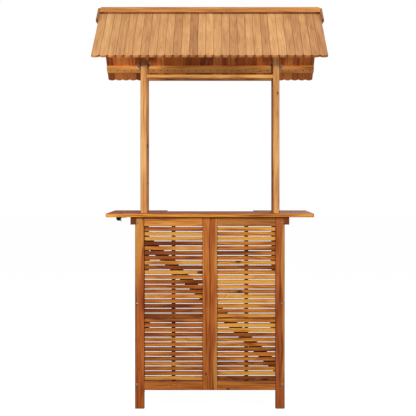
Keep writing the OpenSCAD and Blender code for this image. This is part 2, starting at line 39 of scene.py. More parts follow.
# Sizes of the frame in metres, as in the construction
FRONT_PITCH = math.radians(29.3)
BACK_PITCH = math.radians(32.3)
SLAT_TOP_LINE = 2.173 - 0.016 / math.cos(BACK_PITCH)
ROOF_EDGE = -0.602
ROOF_SLATS = 29
ROOF_STEP = 1.204 / ROOF_SLATS
ROOF_DEPTH = 1.060
PURLIN_WIDTH = 0.048
PURLIN_FACE = -0.032
RIDGE_PURLIN_INSET = 0.028
EAVE_PURLIN_INSET = 0.099
SLAT_START = 0.149
SLAT_STEP = 0.022 + (0.827 - 32 * 0.022) / 33
UNDER_COUNTER = 1.025
BATTEN_HEIGHT = 0.040
COUNTER_START = -0.216
COUNTER_BOARDS = 7
COUNTER_STEP = (0.650 + 0.003) / COUNTER_BOARDS
SHELF_START = -0.1457
SHELF_STEP = (0.190 + 0.006) / 2


# Camera, 1.25 m above the floor and square to the bar's front, where the photo's edges put it.
# Focal length and shifts are in pixels of a picture 416 pixels wide.

PICTURE_WIDTH = 416
FOCAL_LENGTH = 1247
SHIFT_RIGHT = -7.5
SHIFT_UP = -33
SENSOR_MM = 36
camera_data = bpy.data.cameras.new("camera")
camera_data.sensor_width = SENSOR_MM
camera_data.lens = SENSOR_MM * FOCAL_LENGTH / PICTURE_WIDTH
camera_data.shift_x = SHIFT_RIGHT / PICTURE_WIDTH
camera_data.shift_y = SHIFT_UP / PICTURE_WIDTH
camera_data.clip_end = 60
camera = bpy.data.objects.new("camera", camera_data)
camera.location = (0.030, -6.851, 1.250)
camera.rotation_euler = (math.radians(90), 0, 0)
scene.collection.objects.link(camera)
scene.camera = camera


# Node trees

def linear(hex_colour):
    """The linear colour that a shader takes, from an sRGB hex value."""
    values = [int(hex_colour[i:i + 2], 16) / 255 for i in (0, 2, 4)]
    return [v / 12.92 if v <= 0.04045 else ((v + 0.055) / 1.055) ** 2.4 for v in values] + [1.0]


def add(tree, kind, settings=None, links=None):
    """A node of a tree, with its settings and with links into its sockets."""
    made = tree.nodes.new(kind)
    for key, value in (settings or {}).items():
        if isinstance(key, str) and hasattr(made, key):
            setattr(made, key, value)
        else:
            made.inputs[key].default_value = value
    for key, source in (links or {}).items():
        tree.links.new(source, made.inputs[key])
    return made


def new_material(name):
    """An empty material and its node tree."""
    material = bpy.data.materials.new(name)
    material.use_nodes = True
    material.node_tree.nodes.clear()
    return material, material.node_tree


def ramp(tree, factor, stops):
    """A colour ramp with the given (position, colour) stops."""
    made = add(tree, "ShaderNodeValToRGB", links={0: factor})
    elements = made.color_ramp.elements
    while len(elements) < len(stops):
        elements.new(0.5)
    for element, (position, colour) in zip(elements, stops):
        element.position = position
        element.color = linear(colour) if isinstance(colour, str) else colour
    return made.outputs["Color"]


def seen_directly(tree):
    """1 for what the camera or a reflection sees, 0 for light that a surface scatters."""
    path = add(tree, "ShaderNodeLightPath")
    return add(tree, "ShaderNodeMath", {"operation": "MAXIMUM"},
               {0: path.outputs["Is Camera Ray"], 1: path.outputs["Is Glossy Ray"]}).outputs[0]


# Oiled acacia. One builder for all the timbers: each board of a node takes its own tone and its
# own stretch of grain, so that the eye sees separate boards sawn from different logs.

# Sizes of the patterns in millimetres, across and along the grain
KNOT_CELL = (62, 150)
RING_SIZE = (60, 700)
DRIFT_SIZE = (30, 240)
STREAK_SIZE = (7, 300)
FIBRE_SIZE = (2.2, 170)
SAP_EDGE_SIZE = (400, 260)

# Where a pattern starts and where it is full
KNOT_REACH = (0.42, 0.03)   # distance from a cell's middle, in cells
MARK_REACH = (2.0, 0.1)     # distance from a single knot's middle, in its sizes
HEART_REACH = (0.62, 0.98)  # how deep in the swirl around a knot its dark heart lies
STREAK_REACH = (0.52, 0.68)  # value of the streak noise
OWN_SHIFT = 7.0             # metres that a board's pattern is moved by, at most

OIL_ROUGHNESS = 0.58
KNOT_SHARE = 0.5            # share of the cells that hold a knot where knots is 1
KNOT_PULL = 0.35            # how far a knot draws the growth rings in
KNOT_SLIMNESS = 0.45        # a single knot's width over its length along the grain
RING_ANGLE = 62.0           # radians over the noise's range, about ten rings
RING_WEIGHT = -0.16         # what rings and fibres add to the tone where figure is 1
FIBRE_WEIGHT = 0.34
FIGURE_MEAN = 0.09          # the mean of both, taken off again
STREAK_WEIGHT = -0.6        # what streaks and the bands they lie in add where streaks is 1
BAND_WEIGHT = 0.5
STREAKS_MEAN = 0.1
SAP_WANDER = 0.06           # metres that the sapwood's edge wanders
SAP_BLEND = 0.004           # metres over which it turns into heartwood, to either side
SAP_FADE = 0.12             # metres over which the strip starts and stops, to either side
END_FACING = 0.6            # how squarely a face looks along the fibres before it counts as an end
EDGE_FACING = 0.4           # the same for a sawn edge, along its own axis
FACING_BLEND = 0.35         # how much more squarely before it takes all of its tint
RING_RELIEF = 0.35          # height of the rings' relief over the fibres'


def wood(name, tones, grain, board=None, slope=0.0, seed=0.0, figure=0.5, streaks=0.4, knots=0.4,
         board_spread=1.0, end_tone="a87a5a", edge_shade=(Z, None), sap=None, marks=(), gloss=0.2):
    """Acacia, planed, sanded and oiled.

    tones: ramp stops from the darkest heartwood to the palest sapwood.
    grain: axis that the fibres follow, X, Y or Z. board: (axis, start, step) in metres that counts
    the boards of a node. slope: the pitch that turns the pattern into a roof panel's own axes.
    seed: picks the boards' tones and grain. figure, streaks and knots: how much of each shows.
    board_spread: how far the boards' tones lie apart.
    end_tone: what end grain is multiplied with.
    edge_shade: (axis, what the sawn edges that face along it are multiplied with): painted shade for the
    joints and gaps between parts.
    sap: (x, side, z0, z1) of a strip of golden sapwood beside x, towards the side 1 or -1, from z0
    up to z1. marks: (x, z, size) of single knots in a front timber. gloss: how much the oil mirrors.
    """
    material, tree = new_material(name)
    coords = add(tree, "ShaderNodeTexCoord")
    place, normal = coords.outputs["Object"], coords.outputs["Normal"]
    if slope:
        place = add(tree, "ShaderNodeMapping", {"vector_type": "POINT", "Rotation": (slope, 0, 0)},
                    {"Vector": place}).outputs[0]
        normal = add(tree, "ShaderNodeMapping", {"vector_type": "NORMAL", "Rotation": (slope, 0, 0)},
                     {"Vector": normal}).outputs[0]
    axes = add(tree, "ShaderNodeSeparateXYZ", links={0: place})

    # Number of the board, then random numbers for it
    if board:
        axis, start, step = board
        shifted = add(tree, "ShaderNodeMath", {"operation": "SUBTRACT", 1: start}, {0: axes.outputs[axis]})
        count = add(tree, "ShaderNodeMath", {"operation": "DIVIDE", 1: step}, {0: shifted.outputs[0]})
        whole = add(tree, "ShaderNodeMath", {"operation": "FLOOR"}, {0: count.outputs[0]})
        number = add(tree, "ShaderNodeMath", {"operation": "ADD", 1: seed}, {0: whole.outputs[0]})
        chance = add(tree, "ShaderNodeTexWhiteNoise", {"noise_dimensions": "1D"}, {"W": number.outputs[0]})
    else:
        chance = add(tree, "ShaderNodeTexWhiteNoise", {"noise_dimensions": "1D", "W": seed})
    own_shift = add(tree, "ShaderNodeVectorMath", {"operation": "SCALE", "Scale": OWN_SHIFT},
                    {0: chance.outputs["Color"]})
    point = add(tree, "ShaderNodeVectorMath", {"operation": "ADD"},
                {0: place, 1: own_shift.outputs[0]}).outputs[0]

    def stretched(across_mm, along_mm):
        """The board's point scaled so that 1 unit is so many millimetres across and along the grain."""
        scale = [1000 / across_mm] * 3
        scale[grain] = 1000 / along_mm
        return add(tree, "ShaderNodeVectorMath", {"operation": "MULTIPLY", 1: scale}, {0: point}).outputs[0]

    def soft_step(value, low, high):
        """0 at low, 1 at high, and soft in between."""
        return add(tree, "ShaderNodeMapRange", {"interpolation_type": "SMOOTHSTEP", "From Min": low,
                                                "From Max": high, "To Min": 0.0, "To Max": 1.0},
                   {"Value": value}).outputs[0]

    # Knots, thinly scattered: a few cells of a stretched cell pattern hold one
    cells = add(tree, "ShaderNodeTexVoronoi", {"Scale": 1.0, "Randomness": 0.9},
                {"Vector": stretched(*KNOT_CELL)})
    chosen = add(tree, "ShaderNodeSeparateColor", links={0: cells.outputs["Color"]})
    has_knot = add(tree, "ShaderNodeMath", {"operation": "LESS_THAN", 1: knots * KNOT_SHARE},
                   {0: chosen.outputs[0]})
    near = soft_step(cells.outputs["Distance"], *KNOT_REACH)
    swirl = add(tree, "ShaderNodeMath", {"operation": "MULTIPLY"},
                {0: near, 1: has_knot.outputs[0]}).outputs[0]
    for x, z, size in marks:
        scale = [1 / size, 0, 1 / size]
        scale[grain] = KNOT_SLIMNESS / size
        off = add(tree, "ShaderNodeVectorMath", {"operation": "SUBTRACT", 1: (x, 0, z)}, {0: place})
        off = add(tree, "ShaderNodeVectorMath", {"operation": "MULTIPLY", 1: scale}, {0: off.outputs[0]})
        off = add(tree, "ShaderNodeVectorMath", {"operation": "LENGTH"}, {0: off.outputs[0]})
        swirl = add(tree, "ShaderNodeMath", {"operation": "MAXIMUM"},
                    {0: swirl, 1: soft_step(off.outputs["Value"], *MARK_REACH)}).outputs[0]
    heart = soft_step(swirl, *HEART_REACH)

    # Growth rings: the level lines of a long soft noise, drawn in around the knots
    log = add(tree, "ShaderNodeTexNoise", {"Scale": 1.0, "Detail": 2.0, "Roughness": 0.45},
              {"Vector": stretched(*RING_SIZE)})
    bent = add(tree, "ShaderNodeMath", {"operation": "MULTIPLY_ADD", 1: KNOT_PULL},
               {0: swirl, 2: log.outputs["Fac"]})
    rings = add(tree, "ShaderNodeMath", {"operation": "MULTIPLY", 1: RING_ANGLE}, {0: bent.outputs[0]})
    line = add(tree, "ShaderNodeMath", {"operation": "SINE"}, {0: rings.outputs[0]})
    ring = add(tree, "ShaderNodeMapRange", {"From Min": -0.2, "From Max": 1.0, "To Min": 0.0, "To Max": 1.0},
               {"Value": line.outputs[0]}).outputs[0]
    # Colour drifts over some 30 mm, heartwood streaks about 5 mm wide, and fibres 2 mm wide, which
    # are drawn wider than real so that they show
    drift = add(tree, "ShaderNodeTexNoise", {"Scale": 1.0, "Detail": 3.0, "Roughness": 0.55},
                {"Vector": stretched(*DRIFT_SIZE)})
    band = add(tree, "ShaderNodeTexNoise", {"Scale": 1.0, "Detail": 2.0, "Roughness": 0.5},
               {"Vector": stretched(*STREAK_SIZE)})
    streak = soft_step(band.outputs["Fac"], *STREAK_REACH)
    fibre = add(tree, "ShaderNodeTexNoise", {"Scale": 1.0, "Detail": 4.0, "Roughness": 0.65},
                {"Vector": stretched(*FIBRE_SIZE)})

    # Place on the tone ramp: the board's own tone, then drift, rings, streaks and fibres around it
    tone = add(tree, "ShaderNodeMapRange", {"From Min": 0.0, "From Max": 1.0,
                                            "To Min": 0.5 - 0.5 * board_spread - 0.5 * figure,
                                            "To Max": 0.5 + 0.5 * board_spread - 0.5 * figure},
               {"Value": chance.outputs["Value"]}).outputs[0]
    for value, weight in ((drift.outputs["Fac"], figure), (ring, RING_WEIGHT * figure),
                          (streak, STREAK_WEIGHT * streaks), (band.outputs["Fac"], BAND_WEIGHT * streaks),
                          (fibre.outputs["Fac"], FIBRE_WEIGHT * figure)):
        tone = add(tree, "ShaderNodeMath", {"operation": "MULTIPLY_ADD", 1: weight},
                   {0: value, 2: tone}).outputs[0]
    mean = FIGURE_MEAN * figure + STREAKS_MEAN * streaks
    tone = add(tree, "ShaderNodeMath", {"operation": "SUBTRACT", 1: mean}, {0: tone}).outputs[0]
    colour = ramp(tree, tone, tones)

    # Sapwood: a golden strip whose edge wanders
    if sap:
        edge, side, low, high = sap
        wander = add(tree, "ShaderNodeTexNoise", {"Scale": 1.0, "Detail": 1.0},
                     {"Vector": stretched(*SAP_EDGE_SIZE)})
        across = add(tree, "ShaderNodeMath",
                     {"operation": "MULTIPLY_ADD", 1: SAP_WANDER, 2: -edge - SAP_WANDER / 2},
                     {0: wander.outputs["Fac"]}).outputs[0]
        across = add(tree, "ShaderNodeMath", {"operation": "ADD"}, {0: axes.outputs[X], 1: across}).outputs[0]
        inside = soft_step(across, -SAP_BLEND * side, SAP_BLEND * side)
        for limit in (soft_step(axes.outputs[Z], low - SAP_FADE, low + SAP_FADE),
                      soft_step(axes.outputs[Z], high + SAP_FADE, high - SAP_FADE)):
            inside = add(tree, "ShaderNodeMath", {"operation": "MULTIPLY"}, {0: inside, 1: limit}).outputs[0]
        gold = ramp(tree, fibre.outputs["Fac"], [(0.3, "b36e29"), (0.7, "d39548")])
        colour = add(tree, "ShaderNodeMix", {"data_type": "RGBA"}, {0: inside, 6: colour, 7: gold}).outputs[2]

    # Knots and end grain drink more oil and come out darker; the sawn edges take painted shade, for the shade
    # in the joints and gaps between parts
    colour = add(tree, "ShaderNodeMix", {"data_type": "RGBA", "blend_type": "MULTIPLY",
                                         7: linear("6b3a20")}, {0: heart, 6: colour}).outputs[2]
    facing = add(tree, "ShaderNodeSeparateXYZ", links={0: normal})
    for axis, tint, least in ((grain, end_tone, END_FACING), edge_shade + (EDGE_FACING,)):
        if tint:
            share = add(tree, "ShaderNodeMath", {"operation": "ABSOLUTE"}, {0: facing.outputs[axis]})
            colour = add(tree, "ShaderNodeMix", {"data_type": "RGBA", "blend_type": "MULTIPLY",
                                                 7: linear(tint)},
                         {0: soft_step(share.outputs[0], least, least + FACING_BLEND), 6: colour}).outputs[2]

    sheen = add(tree, "ShaderNodeMapRange", {"From Min": 0.3, "From Max": 0.7, "To Min": OIL_ROUGHNESS - 0.07,
                                             "To Max": OIL_ROUGHNESS + 0.1}, {"Value": fibre.outputs["Fac"]})
    relief = add(tree, "ShaderNodeMath", {"operation": "MULTIPLY_ADD", 1: RING_RELIEF},
                 {0: ring, 2: fibre.outputs["Fac"]})
    bump = add(tree, "ShaderNodeBump", {"Strength": 0.35, "Distance": 0.0006}, {"Height": relief.outputs[0]})
    surface = add(tree, "ShaderNodeBsdfPrincipled", {"IOR": 1.45, "Specular IOR Level": gloss},
                  {"Base Color": colour, "Roughness": sheen.outputs[0], "Normal": bump.outputs[0]})
    add(tree, "ShaderNodeOutputMaterial", links={"Surface": surface.outputs[0]})
    return material


# Places on the tone ramp, and what the middle colour's red, green and blue are multiplied with there
TONE_STOPS = ((0.0, (0.42, 0.30, 0.26)), (0.3, (0.76, 0.70, 0.66)), (0.5, (1, 1, 1)),
              (0.7, (1.22, 1.32, 1.36)))
PALEST = (1.52, 1.95, 2.3)


def shades(middle, contrast=1.0, palest=PALEST):
    """Tone stops around a timber's middle colour: redder where darker, more golden where paler."""
    middle = linear(middle)
    stops = []
    for position, factors in TONE_STOPS + ((1.0, palest),):
        colour = [value * factor ** contrast for value, factor in zip(middle, factors)]
        stops.append((position, [min(value, 1.0) for value in colour] + [1.0]))
    return stops


wood_of = {}


def dress(material, *nodes):
    """Give CAD nodes their finish."""
    for name in nodes:
        wood_of[name] = material


# How the boards of a node are told apart: along which axis, from where and at what step, in metres
ROOF_BOARDS = (X, ROOF_EDGE, ROOF_STEP)
SLAT_BOARDS = (Z, SLAT_START, SLAT_STEP)
COUNTER_ROWS = (Y, COUNTER_START, COUNTER_STEP)
SHELF_ROWS = (Y, SHELF_START, SHELF_STEP)
PURLIN_ROWS = (Y, -0.7, 0.2)
LEFT_AND_RIGHT = (X, -0.4, 0.4)
FRONT_AND_REAR_LEG = (Y, -0.161, 0.2)
LOWER_AND_UPPER_RAIL = (Z, 0.0, 0.5)
BATTENS_AND_BEARERS = (X, -0.430, 0.06)
GABLE_ENDS = (X, -0.7, 0.7)

# Roof slats: tan to pinkish on top, bleached a little by the weather, with painted shade on their side edges
# in the joints
dress(wood("oiled_acacia_roof_front", shades("bf8855", 1.1), Y, ROOF_BOARDS, -FRONT_PITCH, seed=2044,
           figure=0.6, streaks=0.25, knots=0.0, board_spread=0.38, end_tone="e8c8ac",
           edge_shade=(X, "b09480")), "front_roof_slats")
# The back slope is warmer, and darker and redder with painted shade, for the shade that the front roof casts
# over its underside
dress(wood("oiled_acacia_roof_back", shades("b45f28", 1.1), Y, ROOF_BOARDS, BACK_PITCH, seed=3174,
           figure=0.9, streaks=0.7, knots=0.3, board_spread=0.8, end_tone="e8c8ac",
           edge_shade=(X, "80604c")), "back_roof_slats")

# Timbers of their own tone, one material for each, so that neighbours differ as real ones do
PLAIN = dict(board_spread=0.0, figure=1.3, streaks=1.0)
# Uprights and level timbers take painted shade on their sawn edges, for the shade lines between neighbouring
# parts
UPRIGHT = dict(edge_shade=(X, "7c4c38"), **PLAIN)
LEVEL = dict(edge_shade=(Z, "94624c"), **PLAIN)
dress(wood("oiled_acacia_leg_left", shades("a04f1e"), Z, seed=11, sap=(-0.368, -1, 0.72, 1.1), **UPRIGHT),
      "front_leg_left")
dress(wood("oiled_acacia_leg_right", shades("9e4f23"), Z, seed=23, sap=(0.385, 1, 0.18, 1.1), **UPRIGHT),
      "front_leg_right")
dress(wood("oiled_acacia_stile_left", shades("ab5c24", 1.1), Z, seed=12, marks=((-0.021, 0.187, 0.006),),
           **UPRIGHT), "middle_stile_left")
dress(wood("oiled_acacia_stile_right", shades("9f501e"), Z, seed=24, sap=(0.026, 1, -1.0, 2.0), **UPRIGHT),
      "middle_stile_right")
dress(wood("oiled_acacia_top_rail_left", shades("bd7430"), X, seed=13, **LEVEL), "front_top_rail_left")
dress(wood("oiled_acacia_top_rail_right", shades("a5642d"), X, seed=25, **LEVEL), "front_top_rail_right")
dress(wood("oiled_acacia_bottom_rail_left", shades("ae6024"), X, seed=14, **LEVEL),
      "front_bottom_rail_left")
dress(wood("oiled_acacia_bottom_rail_right", shades("b76929"), X, seed=26, marks=((0.097, 0.106, 0.007),),
           **LEVEL), "front_bottom_rail_right")

# Slats: the widest mix, from sapwood gold to red-brown heartwood. The posts have knots where the
# photo shows them.
REAR_KNOTS = ((-0.349, 1.411, 0.008), (-0.349, 1.204, 0.005))
FRONT_KNOTS = ((0.367, 1.694, 0.006),)
# The slats' top and bottom faces take painted shade, for the shade in the gaps between them
for side, seed, middle, palest, rear in (("left", 1091, "ab5d20", (1.5, 2.3, 3.0), "b0672e"),
                                         ("right", 1484, "b86a24", (1.5, 2.1, 2.6), "8a4c24")):
    dress(wood(f"oiled_acacia_front_slats_{side}", shades(middle, 1.3, palest), X, SLAT_BOARDS, seed=seed,
               figure=1.5, streaks=0.8, knots=0.3, edge_shade=(Z, "7a5a45")), f"front_slats_{side}")
    dress(wood(f"oiled_acacia_side_slats_{side}", shades("bd7430"), Y, SLAT_BOARDS, seed=seed + 40,
               figure=1.0, streaks=0.7, knots=0.35, board_spread=0.9, edge_shade=(Z, "7a5a45")),
          f"side_slats_{side}")
    dress(wood(f"oiled_acacia_side_legs_{side}", shades("a05c2a"), Z, FRONT_AND_REAR_LEG,
               seed=seed + 5, board_spread=0.3), f"side_front_leg_{side}", f"rear_leg_{side}")
    dress(wood(f"oiled_acacia_side_rails_{side}", shades("a8622c"), Y, LOWER_AND_UPPER_RAIL,
               seed=seed + 6, board_spread=0.3), f"side_top_rail_{side}", f"side_bottom_rail_{side}")
    dress(wood(f"oiled_acacia_post_front_{side}", shades("cc8f52", 0.7), Z, seed=seed + 7, knots=0.3,
               marks=FRONT_KNOTS, **UPRIGHT), f"post_front_{side}")
    dress(wood(f"oiled_acacia_post_rear_{side}", shades(rear, 0.8), Z, seed=seed + 8, marks=REAR_KNOTS,
               **UPRIGHT), f"post_rear_{side}")
    dress(wood(f"oiled_acacia_wing_{side}", shades("9c5530"), X, COUNTER_ROWS, seed=seed + 9,
               board_spread=0.5, gloss=0.06), f"wing_boards_{side}")

# The front board's top and bottom faces are darkened and turned pinker with painted shade
dress(wood("oiled_acacia_front_board", shades("d18431"), X, seed=5, gloss=0.12, edge_shade=(Z, "d0b0b4"),
           **PLAIN), "counter_front_board")
dress(wood("oiled_acacia_counter", shades("9c5530"), X, COUNTER_ROWS, seed=41, board_spread=0.5,
           gloss=0.06), "counter_boards")
dress(wood("oiled_acacia_counter_battens", shades("8f5430"), Y, BATTENS_AND_BEARERS, seed=71,
           board_spread=0.3, end_tone="d0a884"), "counter_outer_battens", "counter_inner_battens")
dress(wood("oiled_acacia_bearers", shades("6e3a20"), Y, BATTENS_AND_BEARERS, seed=75,
           board_spread=0.3), "mid_shelf_bearers", "bottom_shelf_bearers")
# The battens and the brace behind the slats are dark with painted shade, for the shade behind the slats
dress(wood("oiled_acacia_upright_battens_painted_shade", shades("472013"), Z, LEFT_AND_RIGHT, seed=77, board_spread=0.3),
      "slat_battens", "side_battens_left", "side_battens_right")
dress(wood("oiled_acacia_brace_painted_shade", shades("4a2214"), X, seed=81, **PLAIN), "diagonal_brace")
dress(wood("oiled_acacia_shelves", shades("a8622e"), X, SHELF_ROWS, seed=91, board_spread=0.5),
      "mid_shelf_boards", "bottom_shelf_boards")
dress(wood("oiled_acacia_front_beam", shades("d8954c", 0.8), X, seed=95, **PLAIN), "front_beam")
dress(wood("oiled_acacia_rear_beam", shades("a5622c"), X, seed=96, **PLAIN), "rear_beam")
dress(wood("oiled_acacia_ties", shades("9a5a2c"), Y, LEFT_AND_RIGHT, seed=99, board_spread=0.4,
           end_tone="d8b090"), "tie_board_left", "tie_board_right")
for facing, turn, seed in (("front", -FRONT_PITCH, 101), ("back", BACK_PITCH, 111)):
    dress(wood(f"oiled_acacia_purlins_{facing}", shades("f2a456", 0.95), X, PURLIN_ROWS, turn,
               seed=seed, figure=1.0, streaks=0.7, board_spread=0.2), f"{facing}_purlins")
    dress(wood(f"oiled_acacia_rafters_{facing}", shades("9a5a2c"), Y, LEFT_AND_RIGHT, turn,
               seed=seed + 3, board_spread=0.4), f"rafter_{facing}_left", f"rafter_{facing}_right")
    dress(wood(f"oiled_acacia_ridge_{facing}", shades("b57338"), X, None, turn, seed=seed + 5, **PLAIN),
          f"ridge_board_{facing}")
dress(wood("oiled_acacia_gable_plates", shades("a06c40"), Y, GABLE_ENDS, seed=121, board_spread=0.3),
      "gable_plate_left", "gable_plate_right")


# Metals

def plated_steel(name, dark_tone, pale_tone, smooth, dull):
    """Zinc-plated steel, barrel plated: a silver with faint cloudy patches, or a dark brown of painted shade.
    """
    material, tree = new_material(name)
    coords = add(tree, "ShaderNodeTexCoord")
    cloud = add(tree, "ShaderNodeTexNoise", {"Scale": 300.0, "Detail": 3.0},
                {"Vector": coords.outputs["Object"]})
    colour = ramp(tree, cloud.outputs["Fac"], [(0.3, dark_tone), (0.7, pale_tone)])
    rough = add(tree, "ShaderNodeMapRange", {"To Min": smooth, "To Max": dull},
                {"Value": cloud.outputs["Fac"]})
    surface = add(tree, "ShaderNodeBsdfPrincipled", {"Metallic": 1.0},
                  {"Base Color": colour, "Roughness": rough.outputs[0]})
    add(tree, "ShaderNodeOutputMaterial", links={"Surface": surface.outputs[0]})
    return material


def blackened_steel():
    """Powder-coated steel: near black and satin, with a faint grain of the powder."""
    material, tree = new_material("black_powder_coated_steel")
    coords = add(tree, "ShaderNodeTexCoord")
    grit = add(tree, "ShaderNodeTexNoise", {"Scale": 220.0, "Detail": 4.0},
               {"Vector": coords.outputs["Object"]})
    colour = ramp(tree, grit.outputs["Fac"], [(0.35, "22262a"), (0.75, "363c42")])
    rough = add(tree, "ShaderNodeMapRange", {"To Min": 0.4, "To Max": 0.6}, {"Value": grit.outputs["Fac"]})
    surface = add(tree, "ShaderNodeBsdfPrincipled", {"Metallic": 0.0, "IOR": 1.5},
                  {"Base Color": colour, "Roughness": rough.outputs[0]})
    add(tree, "ShaderNodeOutputMaterial", links={"Surface": surface.outputs[0]})
    return material


zinc = plated_steel("zinc_plated_steel", "6a655d", "918b80", 0.3, 0.5)
# The purlin screws are a dark brown of painted shade, for the shade under the roof
shaded_zinc = plated_steel("zinc_steel_painted_shade", "3c2a1c", "5c432e", 0.45, 0.65)
black = blackened_steel()
dress(zinc, "leg_bolts", "barrel_nuts", "post_bolts", "roof_bolts", "bolt_nuts")
dress(black, "bottle_opener")

for name, node_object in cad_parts.items():
    node_object.data.materials.clear()
    node_object.data.materials.append(wood_of[name])


# Screws, set in rows by geometry nodes

HEAD_RADIUS = 0.0038
HEAD_HEIGHT = 0.0009
PROUD = 0.0002              # how far a head stands off the wood's face


def screw_tree():
    """Rows of countersunk screw heads, each head a low dome with a sunk drive."""
    tree = bpy.data.node_groups.new("screw_rows", "GeometryNodeTree")
    for label, kind in (("Start", "Vector"), ("Step", "Vector"), ("Count", "Int"), ("Row step", "Vector"),
                        ("Rows", "Int"), ("Turn", "Vector"), ("Head radius", "Float"),
                        ("Head height", "Float"), ("Finish", "Material")):
        tree.interface.new_socket(label, in_out="INPUT", socket_type="NodeSocket" + kind)
    tree.interface.new_socket("Geometry", in_out="OUTPUT", socket_type="NodeSocketGeometry")
    given = add(tree, "NodeGroupInput").outputs
    rows = add(tree, "GeometryNodeMeshLine", {"mode": "OFFSET"},
               {"Count": given["Rows"], "Start Location": given["Start"], "Offset": given["Row step"]})
    row = add(tree, "GeometryNodeMeshLine", {"mode": "OFFSET"},
              {"Count": given["Count"], "Offset": given["Step"]})
    spread = add(tree, "GeometryNodeInstanceOnPoints",
                 links={"Points": rows.outputs[0], "Instance": row.outputs[0]})
    points = add(tree, "GeometryNodeRealizeInstances", links={"Geometry": spread.outputs[0]})
    disc = add(tree, "GeometryNodeMeshCylinder", {"Vertices": 12, "Side Segments": 1, "Fill Segments": 3},
               {"Radius": given["Head radius"], "Depth": given["Head height"]})

    # The disc's top takes a profile in head heights over its radius: the drive is sunk in the
    # middle, and the dome falls towards its rim
    spot = add(tree, "GeometryNodeInputPosition")
    split = add(tree, "ShaderNodeSeparateXYZ", links={0: spot.outputs[0]})
    flat = add(tree, "ShaderNodeCombineXYZ", links={0: split.outputs[0], 1: split.outputs[1]})
    reach = add(tree, "ShaderNodeVectorMath", {"operation": "LENGTH"}, {0: flat.outputs[0]})
    share = add(tree, "ShaderNodeMath", {"operation": "DIVIDE"},
                {0: reach.outputs["Value"], 1: given["Head radius"]})
    sunk = add(tree, "ShaderNodeMapRange", {"From Min": 0.0, "From Max": 0.5, "To Min": -1.6, "To Max": 0.25},
               {"Value": share.outputs[0]})
    rim = add(tree, "ShaderNodeMapRange", {"From Min": 0.6, "From Max": 1.0, "To Min": 0.0, "To Max": -0.7},
              {"Value": share.outputs[0]})
    profile = add(tree, "ShaderNodeMath", {"operation": "ADD"}, {0: sunk.outputs[0], 1: rim.outputs[0]})
    on_top = add(tree, "ShaderNodeMath", {"operation": "GREATER_THAN", 1: 0.0}, {0: split.outputs[2]})
    lift = add(tree, "ShaderNodeMath", {"operation": "MULTIPLY"},
               {0: profile.outputs[0], 1: on_top.outputs[0]})
    height = add(tree, "ShaderNodeMath", {"operation": "MULTIPLY"},
                 {0: lift.outputs[0], 1: given["Head height"]})
    rise = add(tree, "ShaderNodeCombineXYZ", links={2: height.outputs[0]})
    head = add(tree, "GeometryNodeSetPosition",
               links={"Geometry": disc.outputs[0], "Offset": rise.outputs[0]})

    placed = add(tree, "GeometryNodeInstanceOnPoints",
                 links={"Points": points.outputs[0], "Instance": head.outputs[0], "Rotation": given["Turn"]})
    real = add(tree, "GeometryNodeRealizeInstances", links={"Geometry": placed.outputs[0]})
    finished = add(tree, "GeometryNodeSetMaterial",
                   links={"Geometry": real.outputs[0], "Material": given["Finish"]})
    add(tree, "NodeGroupOutput", links={0: finished.outputs[0]})
    return tree


SCREWS = screw_tree()
SOCKETS = {item.name: item.identifier for item in SCREWS.interface.items_tree if item.in_out == "INPUT"}


def screws(name, fields, finish):
    """One piece of screw heads from (start, step, count, row step, rows, turn) for each field of screws."""
    meshes = []
    for start, step, count, row_step, row_count, turn in fields:
        holder = bpy.data.objects.new(name + "_rows", bpy.data.meshes.new(name + "_rows"))
        scene.collection.objects.link(holder)
        modifier = holder.modifiers.new("screws", "NODES")
        modifier.node_group = SCREWS
        for label, value in (("Start", start), ("Step", step), ("Count", count), ("Row step", row_step),
                             ("Rows", row_count), ("Turn", turn), ("Head radius", HEAD_RADIUS),
                             ("Head height", HEAD_HEIGHT), ("Finish", finish)):
            modifier[SOCKETS[label]] = value
        bpy.context.view_layer.update()
        evaluated = holder.evaluated_get(bpy.context.evaluated_depsgraph_get())
        meshes.append(bpy.data.meshes.new_from_object(evaluated))
        bpy.data.objects.remove(holder)
    joined = bmesh.new()
    for mesh in meshes:
        joined.from_mesh(mesh)
    result = bpy.data.meshes.new(name)
    joined.to_mesh(result)
    joined.free()
    result.materials.append(finish)
    piece = bpy.data.objects.new(name, result)
    scene.collection.objects.link(piece)
    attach(piece, "root")


def on_slope(u, w, back):
    """Y and Z of a point u down a slope and w out of the slats' top plane."""
    pitch = BACK_PITCH if back else FRONT_PITCH
    y = u * math.cos(pitch) + w * math.sin(pitch)
    return (y if back else -y), SLAT_TOP_LINE - u * math.sin(pitch) + w * math.cos(pitch)


# From below, through each purlin into every roof slat
purlin_rows = []
for back in (False, True):
    pitch = BACK_PITCH if back else FRONT_PITCH
    last = ROOF_DEPTH / 2 / math.cos(pitch) - EAVE_PURLIN_INSET - PURLIN_WIDTH
    turn = (math.pi - pitch if back else math.pi + pitch, 0, 0)
    for upper in (RIDGE_PURLIN_INSET, (RIDGE_PURLIN_INSET + last) / 2, last):
        y, z = on_slope(upper + PURLIN_WIDTH / 2, PURLIN_FACE - PROUD, back)
        purlin_rows.append(((ROOF_EDGE + ROOF_STEP / 2, y, z), (ROOF_STEP, 0, 0), ROOF_SLATS,
                            (0, 1, 0), 1, turn))
screws("purlin_screws", purlin_rows, shaded_zinc)

# From above, two through each end of a shelf board into its bearer
FACING_UP = (0, 0, 0)
FACING_DOWN = (math.pi, 0, 0)
FIRST_SCREW_Y = 0.022
SECOND_SCREW_Y = 0.070
shelf_fields = []
for x, z in ((-0.353, 0.4812), (-0.366, 0.1302)):
    for y in (SHELF_START + FIRST_SCREW_Y, SHELF_START + SECOND_SCREW_Y):
        shelf_fields.append(((x, y, z), (-2 * x, 0, 0), 2, (0, SHELF_STEP, 0), 2, FACING_UP))
screws("shelf_screws", shelf_fields, zinc)

